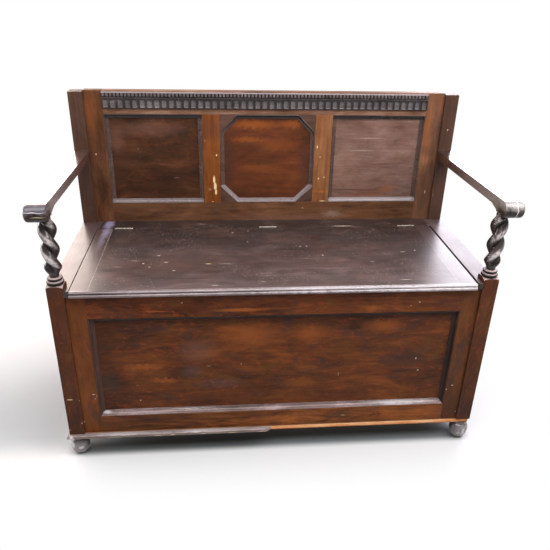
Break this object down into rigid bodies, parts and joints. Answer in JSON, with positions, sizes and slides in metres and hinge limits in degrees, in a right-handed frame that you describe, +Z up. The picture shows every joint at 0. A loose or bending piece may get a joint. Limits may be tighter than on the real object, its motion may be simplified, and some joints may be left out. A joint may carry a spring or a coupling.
{
  "type": "settle bench",
  "caption": "Dark oak box settle with a hinged seat lid over storage, a panelled back with a central octagon, flat arms on twist-turned supports and bun feet.",
  "frame": {"origin": "centre of the bench's footprint, on the floor", "axes": "+X along the bench to the sitter's left, which is the picture's right; +Y towards the wall; +Z up"},
  "size_m": [1.0966, 0.4894, 0.86],
  "materials": {
    "post_oak": "dark stained and polished oak",
    "rear_post_oak": "dark stained and polished oak",
    "base_board_oak": "bare worn edge",
    "base_edge_oak": "dark stained oak, scuffed",
    "foot_oak": "dark stained oak, scuffed",
    "front_stile_oak": "stained and polished oak",
    "front_rail_oak": "stained and polished oak",
    "front_panel_oak": "stained and polished oak veneer",
    "front_moulding_oak": "stained and polished oak",
    "front_side_moulding_oak": "stained and polished oak",
    "side_rail_oak": "stained and polished oak",
    "side_panel_oak": "stained and polished oak",
    "box_back_oak": "stained oak",
    "seat_side_oak": "dark stained oak with a high polish",
    "seat_strip_oak": "dark stained oak with a high polish",
    "lid_board_oak": "dark stained oak with a high polish",
    "lid_cleat_oak": "dark stained oak with a high polish",
    "lid_nosing_oak": "dark stained oak with a high polish",
    "hinge_steel": "dulled steel",
    "back_stile_oak": "stained and polished oak",
    "back_rail_oak": "stained and polished oak",
    "back_muntin_oak": "stained and polished oak",
    "back_panel_oak": "stained and polished oak",
    "back_panel_centre_oak": "stained and polished oak",
    "back_moulding_oak": "stained and polished oak",
    "spandrel_oak": "stained and polished oak",
    "carved_oak": "dark stained carved oak",
    "arm_oak": "dark stained oak with a high polish"
  },
  "bodies": {
    "bench": {"front_post_left": "post_oak", "front_post_right": "post_oak", "rear_post_left": "rear_post_oak", "rear_post_right": "rear_post_oak", "base_board": "base_board_oak", "base_edge_front": "base_edge_oak", "base_edge_left": "base_edge_oak", "base_edge_right": "base_edge_oak", "bun_foot_left": "foot_oak", "bun_foot_right": "foot_oak", "front_stile_left": "front_stile_oak", "front_stile_right": "front_stile_oak", "front_top_rail": "front_rail_oak", "front_bottom_rail": "front_rail_oak", "front_panel": "front_panel_oak", "front_moulding_bottom": "front_moulding_oak", "front_moulding_top": "front_moulding_oak", "front_moulding_left": "front_side_moulding_oak", "front_moulding_right": "front_side_moulding_oak", "side_top_rail_left": "side_rail_oak", "side_top_rail_right": "side_rail_oak", "side_bottom_rail_left": "side_rail_oak", "side_bottom_rail_right": "side_rail_oak", "side_panel_left": "side_panel_oak", "side_panel_right": "side_panel_oak", "box_back_board": "box_back_oak", "seat_side_board_left": "seat_side_oak", "seat_side_board_right": "seat_side_oak", "seat_rear_strip": "seat_strip_oak", "hinge_fixed_leaf_left": "hinge_steel", "hinge_fixed_leaf_middle": "hinge_steel", "hinge_fixed_leaf_right": "hinge_steel", "back_stile_left": "back_stile_oak", "back_stile_right": "back_stile_oak", "back_top_rail": "back_rail_oak", "back_bottom_rail": "back_rail_oak", "back_muntin_left": "back_muntin_oak", "back_muntin_right": "back_muntin_oak", "back_panel_left": "back_panel_oak", "back_panel_centre": "back_panel_centre_oak", "back_panel_right": "back_panel_oak", "back_moulding_left": "back_moulding_oak", "back_moulding_centre": "back_moulding_oak", "back_moulding_right": "back_moulding_oak", "spandrel_upper_left": "spandrel_oak", "spandrel_upper_right": "spandrel_oak", "spandrel_lower_left": "spandrel_oak", "spandrel_lower_right": "spandrel_oak", "carved_strip": "carved_oak", "arm_left": "arm_oak", "arm_right": "arm_oak"},
    "lid": {"lid_board": "lid_board_oak", "lid_cleat_left": "lid_cleat_oak", "lid_cleat_right": "lid_cleat_oak", "lid_nosing": "lid_nosing_oak", "hinge_moving_leaf_left": "hinge_steel", "hinge_moving_leaf_middle": "hinge_steel", "hinge_moving_leaf_right": "hinge_steel"}
  },
  "joints": [
    {"name": "lid_hinge", "type": "hinge", "parent": "bench", "child": "lid", "pos_m": [0, 0.15475, 0.4886], "axis": [-1, 0, 0], "range_deg": [0, 95]}
  ]
}
